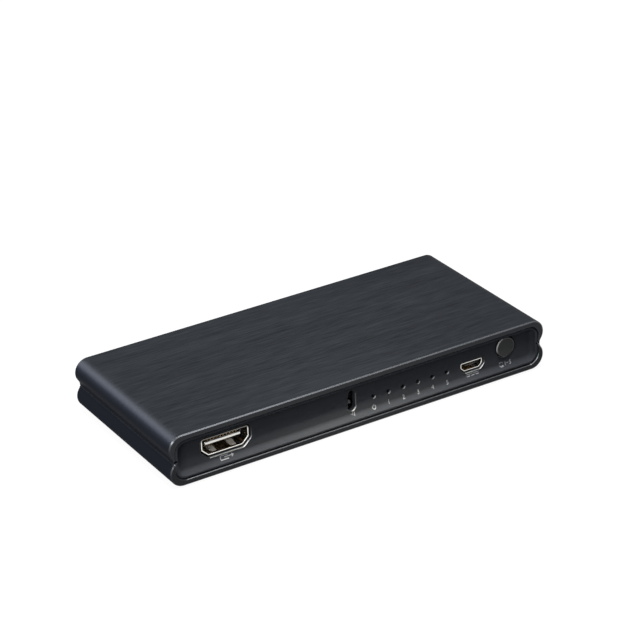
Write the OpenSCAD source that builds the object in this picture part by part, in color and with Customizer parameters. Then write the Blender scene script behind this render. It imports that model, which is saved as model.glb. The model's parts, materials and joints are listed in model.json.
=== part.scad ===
// Video switch box with five inputs and one output.
// Two aluminium half shells close round two moulded end caps and clamp one circuit board.
// Millimetres, +Z up, front towards -Y, origin under the middle of the box at the feet's lower face.

/* [Case] */
// Width over the bulging sides
case_w = 124; // [116:1:150]
// Depth from front rim to rear rim
case_d = 56; // [54:1:80]
// Height without the feet
case_h = 15.6; // [15.2:0.1:20]
// Radius of the four long outer edges
corner_r = 4.1; // [3:0.1:4.4]
// Depth of the groove along each side
groove_depth = 1.2; // [0.8:0.05:1.5]
// Wall left behind the groove
groove_wall = 0.5; // [0.4:0.05:1]
// Thickness of lid and floor
flat_wall = 1.7; // [1.4:0.05:2.2]
// Radius of the four long inner edges
inner_r = 3.4; // [2.4:0.1:4]
// Height of the joint between the two half shells
seam_z = 7.4; // [6.8:0.1:8.6]
// Open gap at that joint
seam_gap = 0.15; // [0.05:0.05:0.3]
// Width of the rails that clamp the board
rail_w = 5.4; // [5:0.1:6]
// Clearance between the lid's rails and the base
lip_clear = 0.15; // [0.05:0.05:0.3]

/* [End caps] */
// Distance from the rim to the cap's face
face_depth = 2.4; // [1.6:0.1:3.2]
// Thickness of the cap's face
face_t = 1.6; // [1.2:0.1:2]
// Thickness of the wall around the recess
flange_t = 0.85; // [0.6:0.05:1.2]
// Distance from the rim to the front edge of that wall
flange_setback = 0.35; // [0.1:0.05:0.8]
// Height of the tongues that lock the cap in the shells
tongue_h = 0.5; // [0.3:0.05:0.8]
// Length of those tongues
tongue_w = 96; // [60:1:100]
// Clearance between cap and shells
cap_clear = 0.12; // [0.05:0.01:0.2]

/* [Board] */
// Height of the board's upper face above the floor's lower face
board_top = 4.8; // [4.4:0.1:5.4]
// Thickness of the board
board_t = 1.6; // [1:0.1:1.8]
// Gap between the board and the end caps
board_end_gap = 0.4; // [0.2:0.1:1]
// Gap between the board and the sides
board_side_gap = 0.35; // [0.2:0.05:1]
// Clearance round each lead in its hole
lead_clear = 0.25; // [0.15:0.05:0.4]
// Length of each lead below the board
lead_proud = 0.7; // [0.3:0.1:1]

/* [Video sockets] */
// Number of inputs
input_count = 5; // [2:1:5]
// Gap between the outer inputs and the screw bosses
input_margin = 0.65; // [0.3:0.05:4]
// Distance from the case's left side to the output's middle
output_inset = 18.75; // [18.5:0.25:28]
// Width of a socket
video_w = 15; // [14.6:0.1:15.4]
// Height of a socket
video_h = 5.5; // [5.2:0.1:5.8]
// Length of a socket
video_len = 11.6; // [10:0.1:13]
// Sheet thickness of a socket's shell
video_wall = 0.4; // [0.3:0.05:0.5]
// Width of the slanted lower corners
video_cut_w = 2.1; // [1.6:0.1:2.4]
// Height of the slanted lower corners
video_cut_h = 2; // [1.6:0.1:2.4]
// Gap under a socket's shell
video_lift = 0.15; // [0.05:0.05:0.3]
// Width of the tongue
video_tongue_w = 11.4; // [10.8:0.1:11.8]
// Thickness of the tongue
video_tongue_t = 1.1; // [0.9:0.05:1.3]
// Distance from the shell's upper face to the tongue
video_tongue_drop = 1.85; // [1.6:0.05:2]
// Contacts on the tongue's upper face
video_upper_contacts = 10; // [6:1:10]
// Contacts on the tongue's lower face
video_lower_contacts = 9; // [5:1:9]
// Distance between contacts of one row
video_contact_pitch = 1; // [0.9:0.05:1.1]
// Distance from a cap's face to the socket's mouth
socket_recess = 0.5; // [0.2:0.1:1]
// Clearance round each socket in its cap
socket_clear = 0.45; // [0.2:0.05:0.6]

/* [Power socket] */
// Distance from the button's middle to the socket's middle
power_gap = 11.35; // [9:0.05:12]
// Width of the socket
power_w = 7.5; // [7.2:0.1:7.8]
// Height of the socket
power_h = 2.75; // [2.5:0.05:3]
// Length of the socket
power_len = 5.4; // [4.8:0.1:6]
// Sheet thickness of the shell
power_wall = 0.3; // [0.2:0.05:0.4]
// Width and height of the slanted lower corners
power_cut = 1.15; // [0.8:0.05:1.3]
// Width of the tongue
power_tongue_w = 3.7; // [3.4:0.1:4]
// Thickness of the tongue
power_tongue_t = 0.6; // [0.5:0.05:0.7]
// Distance between contacts
power_contact_pitch = 0.65; // [0.6:0.05:0.7]

/* [Select button] */
// Distance from the case's right side to the button's middle
button_inset = 12.2; // [11.8:0.1:16]
// Diameter of the button
button_d = 6.2; // [5:0.1:6.4]
// Height of the button's middle above the board
button_axis_h = 4.2; // [4.1:0.05:4.6]
// Height of the button in front of the cap's face
button_proud = 0.7; // [0.4:0.1:1.2]
// Radius of the button's front edge
button_edge_r = 0.5; // [0.2:0.05:0.8]
// Clearance round the button
button_clear = 0.25; // [0.15:0.05:0.35]
// Overlap of the button's collar behind the cap's face
collar_reach = 0.45; // [0.3:0.05:0.6]
// Thickness of that collar
collar_t = 0.7; // [0.5:0.1:1]
// Diameter of the stem that pushes the switch
stem_d = 3; // [2:0.1:3.2]
// Travel of the button
button_travel = 0.3; // [0.2:0.05:0.35]

/* [Indicators and receiver] */
// Number of indicators
led_count = 6; // [4:1:6]
// Distance between indicators
led_pitch = 5; // [4.4:0.1:5.6]
// Distance from the power socket's middle to the last indicator
led_gap = 8.85; // [7:0.05:10]
// Diameter of a lamp
led_d = 3; // [2.6:0.1:3.2]
// Diameter of a lamp's rim
led_rim_d = 3.9; // [3.5:0.1:4]
// Length of a lamp
led_len = 5.3; // [4.6:0.1:6]
// Diameter of the holes in the cap
led_hole_d = 1.2; // [0.8:0.1:2]
// Distance from the first indicator to the receiver's slot
ir_gap = 7.25; // [5.5:0.05:10]
// Width of the slot
ir_slot_w = 2.45; // [2.4:0.05:3]
// Height of the slot
ir_slot_h = 6.3; // [5:0.1:6.6]
// Height of the slot's middle above the board
ir_slot_axis_h = 2.8; // [2.6:0.1:3.2]
// Width of the receiver
ir_w = 5.2; // [4.6:0.1:6]
// Height of the receiver
ir_h = 5.4; // [5:0.1:6.5]
// Thickness of the receiver
ir_t = 3.4; // [2.6:0.1:4]
// Height of the receiver's lens above the board
ir_lens_h = 1.8; // [1.5:0.05:2.4]
// Radius of the receiver's lens
ir_lens_r = 1.05; // [0.8:0.05:1.1]

/* [Fasteners and feet] */
// Thread diameter of the case screws
screw_d = 2.5; // [2:0.1:2.6]
// Head diameter of the case screws
screw_head_d = 4.6; // [4:0.1:4.8]
// Head height of the case screws
screw_head_h = 1.35; // [1.1:0.05:1.5]
// Length of thread in the lid's rails
screw_grip = 5.2; // [3:0.1:6]
// Clearance round the screws in base and board
screw_clear = 0.25; // [0.15:0.05:0.3]
// Clearance round the screws in the lid's rails
thread_clear = 0.05; // [0.02:0.01:0.1]
// Distance between the front and the rear screws
screw_span = 26; // [20:1:28]
// Flat left between a screw's head and the rounded edge
screw_edge = 0.4; // [0.2:0.1:1]
// Wall of the bosses round the screws
boss_wall = 1.3; // [1:0.1:1.5]
// Diameter of the feet
foot_d = 8; // [6:0.5:10]
// Thickness of the feet
foot_t = 0.6; // [0.4:0.1:2]
// Distance from the sides to the feet's middles
foot_inset_x = 14; // [13:0.5:30]
// Distance from the rims to the feet's middles
foot_inset_y = 9; // [7:0.5:16]

/* [Hidden] */
$fn = 64;

// Overlap that joins features of one piece, and overshoot of cuts
weld = 0.3;

// Case
side_wall = groove_depth + groove_wall;
half_w = case_w / 2;
half_d = case_d / 2;
cavity_half = half_w - side_wall;
ceiling = case_h - flat_wall;
corner_x = half_w - corner_r;
groove_rise = case_h / 2 - corner_r;
groove_reach = (pow(groove_depth, 2) + pow(groove_rise, 2)) / (2 * groove_depth);
groove_r = groove_reach - corner_r;
groove_x = corner_x + groove_reach - groove_depth;

// End caps
flange_front = -half_d + flange_setback;
face_front = -half_d + face_depth;
face_back = face_front + face_t;

// Rails and board
rail_front = face_back + cap_clear;
rail_inner = cavity_half - rail_w;
board_bottom = board_top - board_t;
board_front = face_back + board_end_gap;
board_rise = max(0, flat_wall + inner_r - board_bottom);
board_half = cavity_half - inner_r + sqrt(pow(inner_r, 2) - pow(board_rise, 2)) - board_side_gap;
lead_depth = board_t + lead_proud;
hole_l = 2 * (board_t + weld);

// Fasteners
screw_x = corner_x - screw_edge - screw_clear - screw_head_d / 2;
boss_d = screw_d + 2 * (screw_clear + boss_wall);
screw_len = board_top + screw_grip;
screw_hole_spare = 1;
screw_drive_w = 0.7;
screw_drive_l = 2.4;
screw_drive_depth = 0.8;

// Places across the front, from the right side inwards, and across the rear
button_x = half_w - button_inset;
power_x = button_x - power_gap;
led_last_x = power_x - led_gap;
led_places = [for (i = [0:led_count - 1]) led_last_x - (led_count - 1 - i) * led_pitch];
ir_x = led_places[0] - ir_gap;
output_x = -half_w + output_inset;
input_numbers = [1:input_count];
input_reach = screw_x - boss_d / 2 - input_margin - video_w / 2;
input_pitch = 2 * input_reach / (input_count - 1);
input_x = [for (i = input_numbers) (i - (input_count + 1) / 2) * input_pitch];

// Sockets: the mouth is at 0 and the body runs along +Y in a socket's own place
mouth_depth = face_depth + socket_recess;
socket_fit = 0.05;
leg_l = 1.6;
video_leg_places = [3.6, 8.6];
video_leg_drop = 2.75;
video_leg_top = video_h - video_leg_drop;
video_block_at = 7.4;
video_tongue_at = 1.3;
video_tongue_top = video_lift + video_h - video_tongue_drop;
video_contact_w = 0.34;
contact_t = 0.16;
contact_start = 0.5;
tail_l = 1.2;
power_leg_places = [3.2];
power_leg_drop = 0.9;
power_leg_top = power_h - power_leg_drop;
power_block_at = 3;
power_tongue_at = 0.7;
power_tongue_drop = 1;
power_tongue_top = power_h - power_tongue_drop;
power_contacts = 5;
power_contact_w = 0.3;
power_tail_l = 0.9;

// Button and switch behind it
button_z = board_top + button_axis_h;
button_hole_d = button_d + 2 * button_clear;
collar_d = button_hole_d + 2 * collar_reach;
collar_gap = 0.08;
collar_front = face_back + collar_gap;
button_front = face_front - button_proud;
stem_reach = 2.5;
stem_end = face_back + stem_reach;
switch_w = 6;
switch_over = 3;
switch_depth = 3.2;
cover_t = 0.2;
plunger_d = 3.4;
plunger_reach = 1;
plunger_clear = 0.15;
plunger_rim_d = 4.6;
plunger_rim_t = 0.7;
pocket_d = 5.2;
dome_t = 0.1;
dome_d = 4.8;
dome_gap = 0.05;
dome_pressed = 0.45;
dome_rise = button_travel + dome_pressed;
pocket_depth = plunger_rim_t + dome_rise + 2 * dome_gap;
cover_front = stem_end + plunger_reach;
switch_front = cover_front + cover_t;
dome_r = (pow(dome_d / 2, 2) + pow(dome_rise, 2)) / (2 * dome_rise);
bracket_l = 2.2;
terminal_w = 0.7;
terminal_t = 0.3;
terminal_pitch = 4.4;

// Lamps and receiver
led_seat = 0.05;
led_z = board_top + led_rim_d / 2 + led_seat;
led_tip_gap = 0.2;
led_tip = face_back + led_tip_gap;
led_back = led_tip + led_len;
led_rim_t = 1;
wire = 0.5;
led_wire_pitch = 2.54;
led_wire_run = 1.8;
ir_edge_gap = 0.2;
ir_front = board_front + ir_edge_gap;
ir_z = board_top + ir_slot_axis_h;
ir_wire_pitch = 1.6;
ir_wire_run = 1.2;

// Electronics, as places on the board and sizes
video_chip_at = [0, -1];
video_chip_w = 12;
video_chip_t = 1.4;
video_pins = 12;
video_pin_pitch = 0.8;
controller_at = [24, 0];
controller_size = [9.9, 3.9, 1.5];
controller_pins = 8;
controller_pin_pitch = 1.27;
regulator_behind = 12.6;
regulator_at = [power_x, board_front + regulator_behind];
regulator_size = [6.5, 3.5, 1.6];
regulator_pins = 3;
regulator_pin_pitch = 2.3;
regulator_tab_w = 3;
crystal_at = [24, -8];
crystal_l = 10.4;
crystal_w = 4.4;
crystal_h = 3.4;
crystal_rim = 0.4;
crystal_rim_h = 0.5;
bulk_behind = 15.6;
bulk_left = 2.8;
bulk_at = [button_x - bulk_left, board_front + bulk_behind];
bulk_d = 5;
bulk_h = 4.4;
bulk_base_w = 5.3;
bulk_base_h = 1;
pin_w = 0.4;
pin_t = 0.2;
pin_reach = 1.1;
pin_lift = 0.6;
chip_l = 1.6;
chip_w = 0.8;
chip_capacitor_h = 0.8;
chip_resistor_h = 0.45;
chip_row = [-4.5, -1.5, 1.5, 4.5];
chip_row_gap = 3;

socket_back = half_d - mouth_depth - video_len;

// Helpers

// Everything above the feet
module lift() translate([0, 0, foot_t]) children();

// Everything that stands on the board, measured from its upper face
module on_board(at = [0, 0]) translate([at.x, at.y, foot_t + board_top]) children();

// An outline in X and Z, drawn out between two depths
module along_y(from, to)
    translate([0, to, 0])
        rotate([90, 0, 0])
            linear_extrude(to - from)
                children();

// A round piece built upwards, turned to point at the front from depth y
module facing_front(x, y, z) translate([x, y, z]) rotate([90, 0, 0]) children();

// A box by its two opposite corners
module block(low, high) translate(low) cube(high - low);

module mirrored_x() {
    children();
    mirror([1, 0, 0]) children();
}

module mirrored_y() {
    children();
    mirror([0, 1, 0]) children();
}

module rounded_outline(half, low, high, r) {
    translate([-half + r, low]) square([2 * (half - r), high - low]);
    translate([-half, low + r]) square([2 * half, high - low - 2 * r]);
    for (side = [-1, 1], z = [low + r, high - r])
        translate([side * (half - r), z]) circle(r = r);
}

// Case

// Two corner arcs on each side and a groove arc that touches both
module case_outline() {
    translate([-corner_x, 0]) square([2 * corner_x, case_h]);
    for (side = [-1, 1]) {
        for (z = [corner_r, case_h - corner_r])
            translate([side * corner_x, z]) circle(r = corner_r);
        difference() {
            polygon([
                [side * corner_x, corner_r],
                [side * groove_x, case_h / 2],
                [side * corner_x, case_h - corner_r]
            ]);
            translate([side * groove_x, case_h / 2]) circle(r = groove_r);
        }
    }
}

module case_wall(low, high)
    along_y(-half_d, half_d)
        difference() {
            intersection() {
                case_outline();
                translate([-half_w, low]) square([case_w, high - low]);
            }
            rounded_outline(cavity_half, flat_wall, ceiling, inner_r);
        }

module at_screws()
    mirrored_x()
        mirrored_y()
            translate([screw_x, screw_span / 2, 0])
                children();

module screw_bosses(low, high) at_screws() translate([0, 0, low]) cylinder(d = boss_d, h = high - low);

// Slots for the tongues of both end caps, in a wall face at height z and going up or down
module tongue_slots(z, up)
    mirrored_y()
        block(
            [-tongue_w / 2 - cap_clear, face_front - cap_clear, z - (up ? weld : tongue_h + cap_clear)],
            [tongue_w / 2 + cap_clear, face_back + cap_clear, z + (up ? tongue_h + cap_clear : weld)]
        );

module upper_shell()
    color("#33373d")
        lift()
            difference() {
                union() {
                    case_wall(seam_z + seam_gap / 2, case_h);
                    mirrored_x() {
                        block([rail_inner, rail_front, board_top],
                            [cavity_half - lip_clear, -rail_front, ceiling + weld]);
                        block([rail_inner, rail_front, seam_z + seam_gap / 2],
                            [cavity_half + groove_wall / 2, -rail_front, case_h - corner_r]);
                    }
                    screw_bosses(board_top, ceiling + weld);
                }
                tongue_slots(ceiling, true);
                at_screws()
                    cylinder(d = screw_d + 2 * thread_clear, h = screw_len + screw_hole_spare);
            }

module lower_shell()
    color("#2f3338")
        lift()
            difference() {
                union() {
                    case_wall(0, seam_z - seam_gap / 2);
                    mirrored_x()
                        block([rail_inner, rail_front, flat_wall - weld],
                            [cavity_half, -rail_front, board_bottom]);
                    screw_bosses(flat_wall - weld, board_bottom);
                }
                tongue_slots(flat_wall, false);
                at_screws() {
                    translate([0, 0, -weld]) cylinder(d = screw_d + 2 * screw_clear, h = board_top);
                    screw_head(screw_clear);
                }
            }

// Countersunk head with its flat at the floor's lower face
module screw_head(spare) {
    slope = (screw_head_d - screw_d) / 2 / screw_head_h;
    translate([0, 0, -weld])
        cylinder(
            d1 = screw_head_d + 2 * (spare + slope * weld),
            d2 = screw_d + 2 * spare,
            h = screw_head_h + weld
        );
}

module case_screws()
    color("#8d9094")
        lift()
            at_screws()
                difference() {
                    union() {
                        cylinder(d = screw_d, h = screw_len);
                        cylinder(d1 = screw_head_d, d2 = screw_d, h = screw_head_h);
                    }
                    for (turn = [0, 90])
                        rotate(turn)
                            translate([-screw_drive_l / 2, -screw_drive_w / 2, -weld])
                                cube([screw_drive_l, screw_drive_w, screw_drive_depth + weld]);
                }

module rubber_feet()
    color("#1a1a1a")
        mirrored_x()
            mirrored_y()
                translate([half_w - foot_inset_x, half_d - foot_inset_y, 0])
                    cylinder(d = foot_d, h = foot_t);

// End caps

module cap_outline(inset) {
    spare = cap_clear + inset;
    rounded_outline(cavity_half - spare, flat_wall + spare, ceiling - spare, inner_r - spare);
}

// A face with a wall round it, and tongues along its upper and lower edge
module end_cap() {
    difference() {
        along_y(flange_front, face_back) cap_outline(0);
        along_y(flange_front - weld, face_front) cap_outline(flange_t);
    }
    block([-tongue_w / 2, face_front, flat_wall - tongue_h],
        [tongue_w / 2, face_back, flat_wall + cap_clear + weld]);
    block([-tongue_w / 2, face_front, ceiling - cap_clear - weld],
        [tongue_w / 2, face_back, ceiling + tongue_h]);
}

// Cuts go through the cap's face from front to back
module through_face() along_y(face_front - weld, face_back + weld) children();

module front_panel()
    color("#26282b")
        lift()
            difference() {
                end_cap();
                through_face() {
                    translate([output_x, board_top]) video_outline(-socket_clear);
                    translate([power_x, board_top]) power_outline(-socket_clear);
                    translate([button_x, button_z]) circle(d = button_hole_d);
                    for (x = led_places) translate([x, led_z]) circle(d = led_hole_d);
                    translate([ir_x, ir_z]) slot_outline(ir_slot_w, ir_slot_h);
                }
            }

module slot_outline(w, h) {
    reach = (h - w) / 2;
    translate([-w / 2, -reach]) square([w, 2 * reach]);
    for (side = [-1, 1]) translate([0, side * reach]) circle(d = w);
}

module rear_panel()
    color("#26282b")
        lift()
            mirror([0, 1, 0])
                difference() {
                    end_cap();
                    through_face()
                        for (x = input_x) translate([x, board_top]) video_outline(-socket_clear);
                }

// Board

module leg_holes(places, half, sheet)
    for (side = [-1, 1], y = places)
        translate([side * (half - sheet / 2), y, 0])
            cube([sheet + 2 * lead_clear, leg_l + 2 * lead_clear, hole_l], center = true);

module wire_hole(x, y, w, l)
    translate([x, y, 0])
        cube([w + 2 * lead_clear, l + 2 * lead_clear, hole_l], center = true);

module main_board()
    color("#1d5c3a")
        difference() {
            lift() block([-board_half, board_front, board_bottom], [board_half, -board_front, board_top]);
            at_screws() cylinder(d = screw_d + 2 * screw_clear, h = screw_len);
            on_board() {
                at_sockets() leg_holes(video_leg_places, video_w / 2, video_wall);
                at_front(power_x) leg_holes(power_leg_places, power_w / 2, power_wall);
                for (x = led_places, side = [-1, 1])
                    wire_hole(x + side * led_wire_pitch / 2, led_back + led_wire_run, wire, wire);
                for (i = [-1:1])
                    wire_hole(ir_x + i * ir_wire_pitch, ir_front + ir_t + ir_wire_run, wire, wire);
                for (side = [-1, 1]) {
                    wire_hole(button_x + side * terminal_pitch / 2, terminal_y(), terminal_w, terminal_t);
                    wire_hole(button_x + side * bracket_x(), bracket_y(), cover_t, bracket_l);
                }
            }
        }

// Sockets

// Outline with slanted lower corners; inset moves every edge inwards by the same distance
function slanted(half, low, high, cut_w, cut_h, inset) =
    let (
        slope = sqrt(pow(cut_w, 2) + pow(cut_h, 2)),
        side = half - inset,
        knee = low + cut_h + inset * (slope - cut_h) / cut_w,
        foot = half - cut_w - inset * (slope - cut_w) / cut_h
    )
    [
        [-foot, low + inset], [foot, low + inset], [side, knee],
        [side, high - inset], [-side, high - inset], [-side, knee]
    ];

module video_outline(inset)
    polygon(slanted(video_w / 2, video_lift, video_lift + video_h, video_cut_w, video_cut_h, inset));

module power_outline(inset)
    polygon(slanted(power_w / 2, 0, power_h, power_cut, power_cut, inset));

module at_front(x) translate([x, -half_d + mouth_depth, 0]) children();

module at_rear(x) translate([x, half_d - mouth_depth, 0]) rotate(180) children();

module at_sockets() {
    at_front(output_x) children();
    for (x = input_x) at_rear(x) children();
}

module as_output() on_board() at_front(output_x) children();

module as_input(i) on_board() at_rear(input_x[i - 1]) children();

// Legs that hold a shell in the board
module shell_legs(places, half, sheet, top)
    for (side = [-1, 1], y = places)
        translate([side * (half - sheet / 2), y, (top - lead_depth) / 2])
            cube([sheet, leg_l, top + lead_depth], center = true);

module video_shell()
    color("#d9dbdd") {
        along_y(0, video_len)
            difference() {
                video_outline(0);
                video_outline(video_wall);
            }
        shell_legs(video_leg_places, video_w / 2, video_wall, video_lift + video_leg_top);
    }

// One contact: along the tongue, through the block, down to the board and out as a foot
module contact(x, z, from, to, w, run) {
    translate([x - w / 2, from, z]) cube([w, to + contact_t - from, contact_t]);
    translate([x - w / 2, to, 0]) cube([w, contact_t, z + contact_t]);
    translate([x - w / 2, to, 0]) cube([w, run, contact_t]);
}

module contact_row(count, pitch, z, from, to, w, run)
    for (i = [0:count - 1])
        contact((i - (count - 1) / 2) * pitch, z, from, to, w, run);

module video_contacts()
    color("#c9a24a") {
        start = video_tongue_at + contact_start;
        upper_z = video_tongue_top;
        lower_z = video_tongue_top - video_tongue_t - contact_t;
        contact_row(video_upper_contacts, video_contact_pitch, upper_z, start, video_len,
            video_contact_w, tail_l);
        contact_row(video_lower_contacts, video_contact_pitch, lower_z, start, video_len,
            video_contact_w, tail_l);
    }

module video_insulator()
    color("#1b1b1d")
        difference() {
            union() {
                along_y(video_block_at, video_len) video_outline(video_wall + socket_fit);
                block([-video_tongue_w / 2, video_tongue_at, video_tongue_top - video_tongue_t],
                    [video_tongue_w / 2, video_block_at + weld, video_tongue_top]);
            }
            video_contacts();
        }

module power_socket_shell()
    color("#d9dbdd")
        on_board()
            at_front(power_x) {
                along_y(0, power_len)
                    difference() {
                        power_outline(0);
                        power_outline(power_wall);
                    }
                shell_legs(power_leg_places, power_w / 2, power_wall, power_leg_top);
            }

module power_contacts_row()
    contact_row(power_contacts, power_contact_pitch, power_tongue_top - power_tongue_t - contact_t,
        power_tongue_at + contact_start, power_len, power_contact_w, power_tail_l);

module power_socket_contacts()
    color("#c9a24a") on_board() at_front(power_x) power_contacts_row();

module power_socket_insulator()
    color("#1b1b1d")
        on_board()
            at_front(power_x)
                difference() {
                    union() {
                        along_y(power_block_at, power_len) power_outline(power_wall + socket_fit);
                        block([-power_tongue_w / 2, power_tongue_at, power_tongue_top - power_tongue_t],
                            [power_tongue_w / 2, power_block_at + weld, power_tongue_top]);
                    }
                    power_contacts_row();
                }

// Button and switch

module select_button()
    color("#1d1f22")
        lift() {
            facing_front(button_x, collar_front + collar_t, button_z)
                rotate_extrude()
                    button_outline(collar_front + collar_t - button_front);
            facing_front(button_x, stem_end, button_z)
                cylinder(d = stem_d, h = stem_end - collar_front);
        }

// Half section of the cap, from its collar up to a rounded front edge
module button_outline(h) {
    square([collar_d / 2, collar_t]);
    square([button_d / 2, h - button_edge_r]);
    square([button_d / 2 - button_edge_r, h]);
    translate([button_d / 2 - button_edge_r, h - button_edge_r]) circle(r = button_edge_r);
}

module switch_plunger()
    color("#101112")
        lift() {
            facing_front(button_x, switch_front + weld, button_z)
                cylinder(d = plunger_d, h = switch_front + weld - stem_end);
            facing_front(button_x, switch_front + dome_gap + plunger_rim_t, button_z)
                cylinder(d = plunger_rim_d, h = plunger_rim_t);
        }

// Domed spring sheet on the pocket's floor
module switch_dome()
    color("#b9bcc0")
        lift()
            facing_front(button_x, switch_front + pocket_depth, button_z)
                rotate_extrude()
                    intersection() {
                        square([dome_d / 2, dome_rise]);
                        translate([0, dome_rise - dome_r])
                            difference() {
                                circle(r = dome_r, $fn = 128);
                                circle(r = dome_r - dome_t, $fn = 128);
                            }
                    }

module switch_body()
    color("#202124")
        lift()
            difference() {
                block([button_x - switch_w / 2, switch_front, board_top],
                    [button_x + switch_w / 2, switch_front + switch_depth, button_z + switch_over]);
                facing_front(button_x, switch_front + pocket_depth, button_z)
                    cylinder(d = pocket_d, h = pocket_depth + weld);
            }

function bracket_x() = switch_w / 2 + cover_t / 2;
function bracket_y() = switch_front + bracket_l / 2;
function terminal_y() = switch_front + switch_depth + terminal_t / 2;

// Sheet over the switch, bent back along both sides and down into the board
module switch_cover()
    color("#c4c7ca")
        lift()
            difference() {
                union() {
                    block([button_x - switch_w / 2 - cover_t, cover_front, board_top],
                        [button_x + switch_w / 2 + cover_t, switch_front, button_z + switch_over]);
                    for (side = [-1, 1])
                        translate([button_x + side * bracket_x(), 0, 0])
                            block([-cover_t / 2, switch_front, board_top - lead_depth],
                                [cover_t / 2, switch_front + bracket_l, button_z + switch_over]);
                }
                facing_front(button_x, switch_front + weld, button_z)
                    cylinder(d = plunger_d + 2 * plunger_clear, h = cover_t + 2 * weld);
            }

module switch_terminals()
    color("#c4c7ca")
        lift()
            for (side = [-1, 1])
                translate([button_x + side * terminal_pitch / 2, switch_front + switch_depth, 0])
                    block([-terminal_w / 2, 0, board_top - lead_depth],
                        [terminal_w / 2, terminal_t, button_z]);

// Lamps and receiver

module led(i)
    color("#cfd6dc")
        lift()
            facing_front(led_places[i], led_back, led_z)
                rotate_extrude() {
                    square([led_rim_d / 2, led_rim_t]);
                    square([led_d / 2, led_len - led_d / 2]);
                    intersection() {
                        translate([0, led_len - led_d / 2]) circle(d = led_d);
                        square([led_d / 2, led_len]);
                    }
                }

// A wire that leaves backwards and turns down into the board
module bent_wire(x, y, z, run)
    translate([x, y, 0]) {
        block([-wire / 2, 0, z - wire / 2], [wire / 2, run + wire / 2, z + wire / 2]);
        block([-wire / 2, run - wire / 2, board_top - lead_depth], [wire / 2, run + wire / 2, z]);
    }

module led_leads()
    color("#c4c7ca")
        lift()
            for (x = led_places, side = [-1, 1])
                bent_wire(x + side * led_wire_pitch / 2, led_back, led_z, led_wire_run);

module ir_receiver()
    color("#151517")
        lift() {
            block([ir_x - ir_w / 2, ir_front, board_top],
                [ir_x + ir_w / 2, ir_front + ir_t, board_top + ir_h]);
            facing_front(ir_x, ir_front + ir_lens_r / 2, board_top + ir_lens_h)
                rotate_extrude()
                    intersection() {
                        translate([0, ir_lens_r / 2]) circle(r = ir_lens_r);
                        square([ir_lens_r, 2 * ir_lens_r]);
                    }
        }

module ir_receiver_leads()
    color("#c4c7ca")
        lift()
            for (i = [-1:1])
                bent_wire(ir_x + i * ir_wire_pitch, ir_front + ir_t, board_top + ir_h / 2, ir_wire_run);

// Electronics

// A chip's leg in its own place: out of the body along +X, then down to the board
module leg() {
    translate([0, -pin_w / 2, pin_lift]) cube([pin_reach / 2, pin_w, pin_t]);
    translate([pin_reach / 2 - pin_t, -pin_w / 2, 0]) cube([pin_t, pin_w, pin_lift + pin_t]);
    translate([pin_reach / 2 - pin_t, -pin_w / 2, 0]) cube([pin_reach / 2 + pin_t, pin_w, pin_t]);
}

module leg_row(count, pitch, out)
    for (i = [0:count - 1])
        translate([out, (i - (count - 1) / 2) * pitch, 0]) leg();

// A chip's body, a little above the board on its legs
module chip_body(size) translate([-size.x / 2, -size.y / 2, pin_t]) cube([size.x, size.y, size.z - pin_t]);

module video_chip()
    color("#17181a") on_board(video_chip_at) chip_body([video_chip_w, video_chip_w, video_chip_t]);

module video_chip_pins()
    color("#c4c7ca")
        on_board(video_chip_at)
            for (turn = [0:90:270])
                rotate(turn) leg_row(video_pins, video_pin_pitch, video_chip_w / 2);

module controller_chip() color("#17181a") on_board(controller_at) chip_body(controller_size);

module controller_chip_pins()
    color("#c4c7ca")
        on_board(controller_at)
            for (turn = [90, 270])
                rotate(turn) leg_row(controller_pins, controller_pin_pitch, controller_size.y / 2);

module voltage_regulator() color("#17181a") on_board(regulator_at) chip_body(regulator_size);

module regulator_leads()
    color("#c4c7ca")
        on_board(regulator_at) {
            rotate(-90) leg_row(regulator_pins, regulator_pin_pitch, regulator_size.y / 2);
            rotate(90)
                translate([regulator_size.y / 2, -regulator_tab_w / 2, 0])
                    cube([pin_reach, regulator_tab_w, pin_lift]);
        }

module crystal()
    color("#cdd0d3")
        on_board(crystal_at) {
            linear_extrude(crystal_rim_h) rotate(90) slot_outline(crystal_w, crystal_l);
            linear_extrude(crystal_h)
                rotate(90) slot_outline(crystal_w - 2 * crystal_rim, crystal_l - 2 * crystal_rim);
        }

module capacitor_base()
    color("#1b1b1d")
        on_board(bulk_at)
            translate([-bulk_base_w / 2, -bulk_base_w / 2, 0])
                cube([bulk_base_w, bulk_base_w, bulk_base_h]);

module bulk_capacitor()
    color("#c9ccd0") on_board(bulk_at) translate([0, 0, bulk_base_h]) cylinder(d = bulk_d, h = bulk_h);

module chip_part(x, y, h, turn = 0)
    on_board([x, y])
        rotate(turn)
            translate([-chip_l / 2, -chip_w / 2, 0])
                cube([chip_l, chip_w, h]);

// Capacitors behind each input and at both sides of the video chip
module chip_capacitors()
    color("#b08d62") {
        for (x = input_x, step = chip_row)
            chip_part(x + step, socket_back - chip_row_gap, chip_capacitor_h, 90);
        for (side = [-1, 1], step = chip_row)
            chip_part(video_chip_at.x + side * (video_chip_w / 2 + chip_row_gap + pin_reach),
                video_chip_at.y + step, chip_capacitor_h);
    }

// Resistors behind each indicator and behind the output
module chip_resistors()
    color("#222326") {
        for (x = led_places)
            chip_part(x, led_back + led_wire_run + chip_row_gap, chip_resistor_h, 90);
        for (step = chip_row)
            chip_part(output_x + step, -socket_back + chip_row_gap, chip_resistor_h, 90);
    }

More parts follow.
